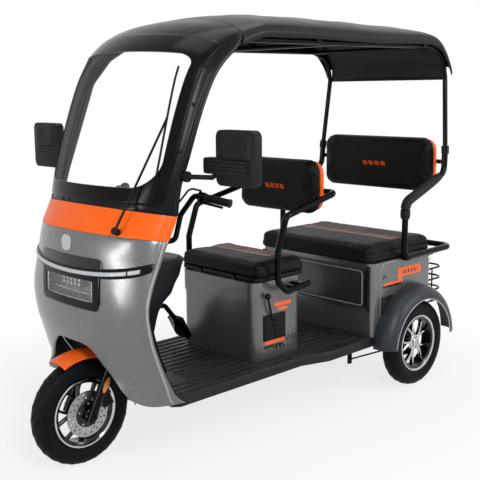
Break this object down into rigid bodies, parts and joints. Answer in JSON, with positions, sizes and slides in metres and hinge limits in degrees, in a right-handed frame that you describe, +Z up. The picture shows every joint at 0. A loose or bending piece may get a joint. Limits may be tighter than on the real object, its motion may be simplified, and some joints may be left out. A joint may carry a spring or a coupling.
{
  "type": "electric tricycle",
  "caption": "Roofed electric passenger tricycle with one steered front wheel, windscreen, driver seat on a storage box, rear bench and wire basket",
  "frame": {"origin": "on the ground below the middle of the whole vehicle's box", "axes": "+X forward, +Y to the vehicle's left, +Z up"},
  "size_m": [2.2932, 1.432, 1.766],
  "materials": {
    "body_grey": "metallic gloss",
    "band_orange": "gloss",
    "charcoal": "satin",
    "black_plastic": "matte",
    "black_metal": "gloss",
    "floor_plastic": "matte",
    "screen_glass": "clear",
    "lamp_glass": "clear",
    "lamp_white": "gloss",
    "lamp_red": "gloss",
    "leather": "grained",
    "tyre": "matte",
    "alloy": "bright",
    "black_alloy": "gloss",
    "steel": "brushed",
    "mirror": "mirror",
    "rubber": "matte",
    "battery": "matte"
  },
  "bodies": {
    "chassis": {"chassis_frame": "black_metal", "floor_board": "floor_plastic", "front_fairing": "body_grey", "fairing_band": "band_orange", "leg_shield": "black_plastic", "headlamp_bezel": "black_plastic", "headlamp_lens": "lamp_glass", "light_bar": "lamp_white", "windscreen_frame": "charcoal", "windscreen": "screen_glass", "wiper": "black_plastic", "roof_panel": "charcoal", "rear_visor": "black_plastic", "roof_frame": "black_metal", "front_box": "body_grey", "front_seat_frame": "black_metal", "front_backrest": "leather", "backrest_shells": "band_orange", "parking_lever": "black_plastic", "rear_box": "body_grey", "rear_seat_frame": "black_metal", "rear_backrest": "leather", "bench_cushion": "leather", "rear_mudguards": "body_grey", "tail_lamps": "lamp_red", "basket": "black_metal", "rear_axle": "black_metal", "rear_springs": "black_metal", "battery_block": "battery", "brake_linkage": "black_metal", "brake_pedal": "black_metal", "mirrors": "black_plastic", "mirror_glass": "mirror"},
    "steering": {"fork": "black_metal", "front_mudguard": "band_orange", "handlebar": "black_metal", "grips": "rubber", "brake_levers": "black_metal", "dash_pod": "black_plastic", "brake_cable": "rubber"},
    "front_wheel": {"front_tyre": "tyre", "front_rim": "black_alloy", "brake_disc": "steel"},
    "rear_wheel_left": {"tyre_left": "tyre", "rim_left": "alloy"},
    "rear_wheel_right": {"tyre_right": "tyre", "rim_right": "alloy"},
    "seat_lid": {"seat_base": "black_plastic", "seat_cushion": "leather"},
    "hatch": {"rear_hatch": "body_grey"}
  },
  "joints": [
    {"name": "steer", "type": "hinge", "parent": "chassis", "child": "steering", "pos_m": [0.90943, 0, 0.19829], "axis": [-0.4384, 0, 0.8988], "range_deg": [-30, 30]},
    {"name": "front_wheel_spin", "type": "hinge", "parent": "steering", "child": "front_wheel", "pos_m": [0.9355, 0, 0.211], "axis": [0, 1, 0], "continuous": true},
    {"name": "rear_left_spin", "type": "hinge", "parent": "chassis", "child": "rear_wheel_left", "pos_m": [-0.7445, 0.388, 0.211], "axis": [0, 1, 0], "continuous": true},
    {"name": "rear_right_spin", "type": "hinge", "parent": "chassis", "child": "rear_wheel_right", "pos_m": [-0.7445, -0.388, 0.211], "axis": [0, 1, 0], "continuous": true},
    {"name": "seat_lift", "type": "hinge", "parent": "chassis", "child": "seat_lid", "pos_m": [0.2045, 0, 0.646], "axis": [0, 1, 0], "range_deg": [0, 75]},
    {"name": "hatch_drop", "type": "hinge", "parent": "chassis", "child": "hatch", "pos_m": [-0.4305, 0, 0.436], "axis": [0, 1, 0], "range_deg": [0, 95]}
  ]
}
